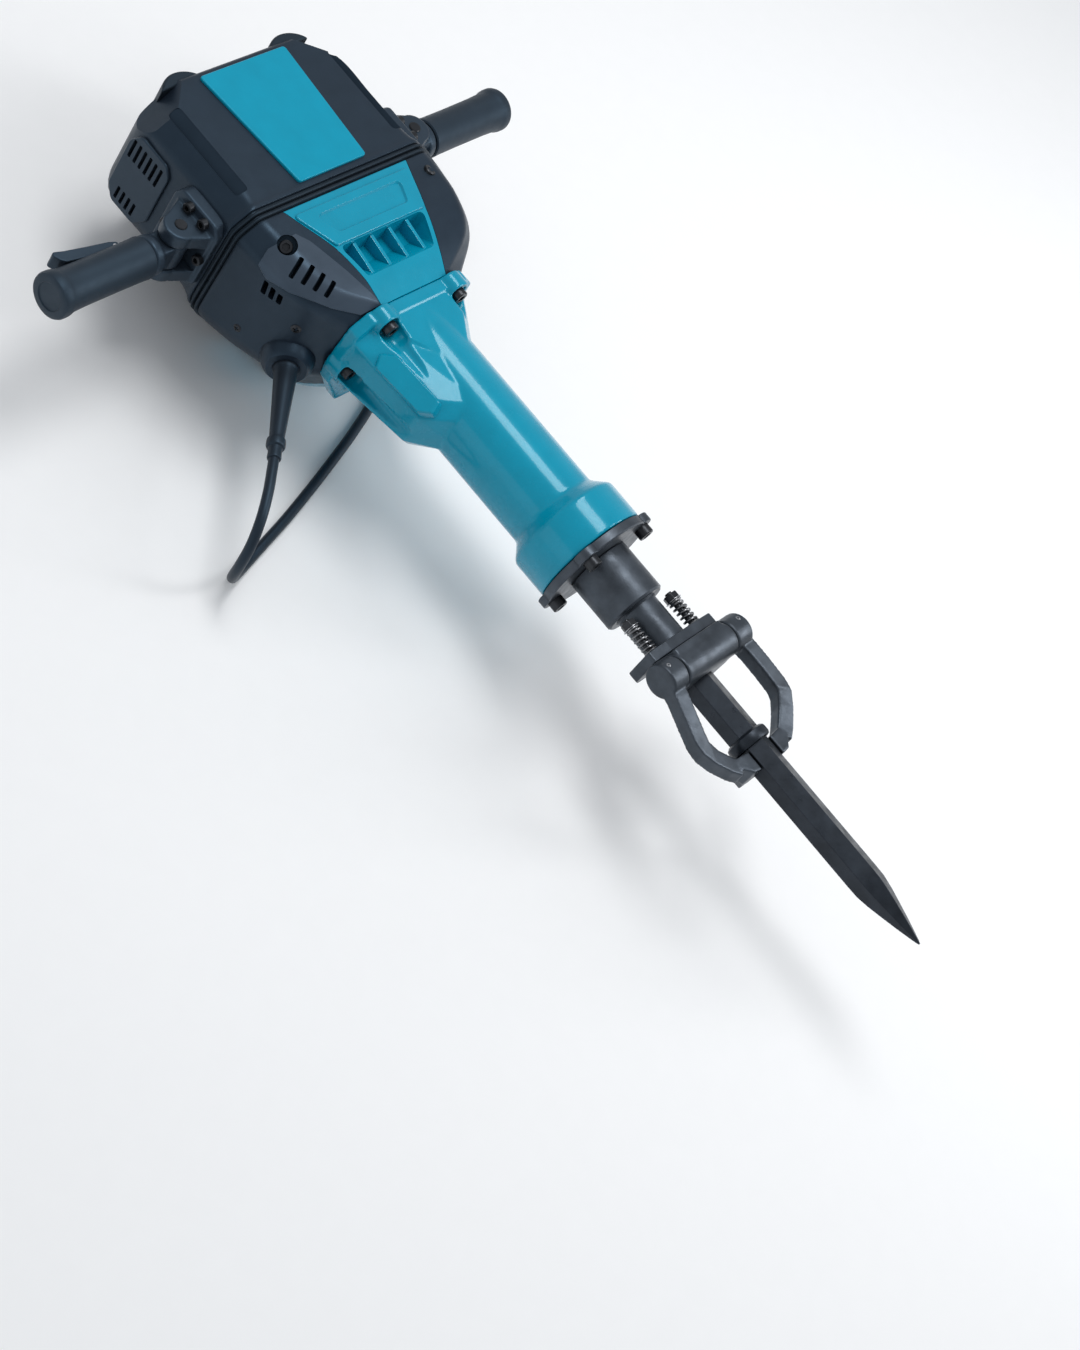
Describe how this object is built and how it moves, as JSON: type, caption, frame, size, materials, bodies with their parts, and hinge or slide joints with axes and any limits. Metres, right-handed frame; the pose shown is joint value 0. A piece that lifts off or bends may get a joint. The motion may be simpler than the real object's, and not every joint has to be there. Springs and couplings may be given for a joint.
{
  "type": "electric jackhammer",
  "caption": "Heavy two-handed electric breaker with moulded motor housing, cast barrel, sprung side handles, swing retainer yoke and hex-shank point chisel.",
  "frame": {"origin": "middle of the bounding box of the tool without its cord, on the surface it lies on", "axes": "+Y along the chisel towards its point, +Z out of the front face, +X towards the trigger handle"},
  "size_m": [0.604, 1.06, 0.2094],
  "materials": {
    "housing_plastic": "blue-black glass-filled nylon, fine grain",
    "teal_paint": "gloss teal paint on cast aluminium",
    "rubber": "matt black rubber",
    "cord_rubber": "satin black rubber",
    "dark_steel": "black oxide",
    "forged_steel": "forged, dark gunmetal",
    "bright_steel": "ground",
    "aluminium": "as cast",
    "copper": "machined copper",
    "brass": "plated"
  },
  "bodies": {
    "body": {"motor_housing": "housing_plastic", "front_panel": "teal_paint", "top_bumpers": "rubber", "motor_end_cover_left": "housing_plastic", "motor_end_cover_right": "housing_plastic", "seam_gasket": "rubber", "back_pad": "rubber", "crank_case": "teal_paint", "crank_front_cover": "teal_paint", "side_cover_left": "housing_plastic", "side_cover_right": "housing_plastic", "cover_screws": "dark_steel", "barrel_housing": "teal_paint", "barrel_bolts": "dark_steel", "flange_plate": "forged_steel", "flange_bolts": "dark_steel", "tool_holder": "forged_steel", "retainer_bolts": "dark_steel", "retainer_springs": "bright_steel", "left_bracket": "housing_plastic", "right_bracket": "housing_plastic", "bracket_bolts": "dark_steel", "rock_pins": "bright_steel", "switch": "housing_plastic", "stator": "bright_steel", "motor_bearings": "bright_steel", "brush_holders": "copper", "gear_frame": "aluminium", "crank_bearings": "bright_steel", "cylinder": "bright_steel", "impact_seal": "cord_rubber", "cord_clamp": "cord_rubber", "cord_guard": "cord_rubber", "cord_run": "cord_rubber", "cord_coil": "cord_rubber", "cord_tail": "cord_rubber", "coil_tie": "cord_rubber", "plug_body": "cord_rubber", "plug_pins": "brass"},
    "armature": {"armature": "bright_steel", "commutator": "copper", "fan": "housing_plastic"},
    "idler": {"idler_shaft": "bright_steel"},
    "crank": {"crankshaft": "bright_steel"},
    "piston": {"piston_rod": "bright_steel", "piston": "bright_steel", "piston_pin": "bright_steel"},
    "striker": {"striker": "bright_steel"},
    "impact_bolt": {"impact_bolt": "bright_steel"},
    "chisel": {"chisel": "forged_steel"},
    "yoke": {"yoke": "forged_steel", "yoke_roll_pins": "bright_steel", "pivot_pin": "bright_steel"},
    "retainer_plate": {"retainer_plate": "forged_steel"},
    "left_handle": {"left_handle_arm": "housing_plastic", "left_grip": "rubber", "trigger_pin": "bright_steel"},
    "right_handle": {"right_handle_arm": "housing_plastic", "right_grip": "rubber"},
    "trigger": {"trigger": "housing_plastic"}
  },
  "joints": [
    {"name": "armature_spin", "type": "hinge", "parent": "body", "child": "armature", "pos_m": [0, -0.4525, 0.117], "axis": [1, 0, 0], "continuous": true},
    {"name": "idler_spin", "type": "hinge", "parent": "body", "child": "idler", "pos_m": [0, -0.39252, 0.1156], "axis": [1, 0, 0], "continuous": true},
    {"name": "crank_spin", "type": "hinge", "parent": "body", "child": "crank", "pos_m": [0, -0.3285, 0.137], "axis": [1, 0, 0], "continuous": true},
    {"name": "piston_slide", "type": "slide", "parent": "body", "child": "piston", "axis": [0, 1, 0], "range_m": [0, 0.04]},
    {"name": "striker_slide", "type": "slide", "parent": "body", "child": "striker", "axis": [0, 1, 0], "range_m": [0, 0.06]},
    {"name": "impact_bolt_slide", "type": "slide", "parent": "body", "child": "impact_bolt", "axis": [0, 1, 0], "range_m": [-0.01, 0]},
    {"name": "chisel_slide", "type": "slide", "parent": "body", "child": "chisel", "axis": [0, 1, 0], "range_m": [-0.05, 0]},
    {"name": "yoke_swing", "type": "hinge", "parent": "body", "child": "yoke", "pos_m": [0, 0.1925, 0.161], "axis": [-1, 0, 0], "range_deg": [0, 100]},
    {"name": "plate_slide", "type": "slide", "parent": "body", "child": "retainer_plate", "axis": [0, 1, 0], "range_m": [-0.003, 0], "stiffness_N_per_m": 20000, "springref_m": 0.002, "deforming": ["retainer_springs"]},
    {"name": "left_handle_rock", "type": "hinge", "parent": "body", "child": "left_handle", "pos_m": [0.158, -0.3865, 0.137], "axis": [0, 0, 1], "range_deg": [-4, 4], "stiffness_Nm_per_rad": 60},
    {"name": "right_handle_rock", "type": "hinge", "parent": "body", "child": "right_handle", "pos_m": [-0.158, -0.3865, 0.137], "axis": [0, 0, 1], "range_deg": [-4, 4], "stiffness_Nm_per_rad": 60},
    {"name": "trigger_press", "type": "hinge", "parent": "left_handle", "child": "trigger", "pos_m": [0.213, -0.4035, 0.141], "axis": [0, 0, 1], "range_deg": [0, 7], "stiffness_Nm_per_rad": 2, "springref_deg": -2.86}
  ],
  "couplings": [
    {"joint": "idler_spin", "follows": "armature_spin", "ratio": -0.2},
    {"joint": "crank_spin", "follows": "armature_spin", "ratio": 0.07}
  ]
}
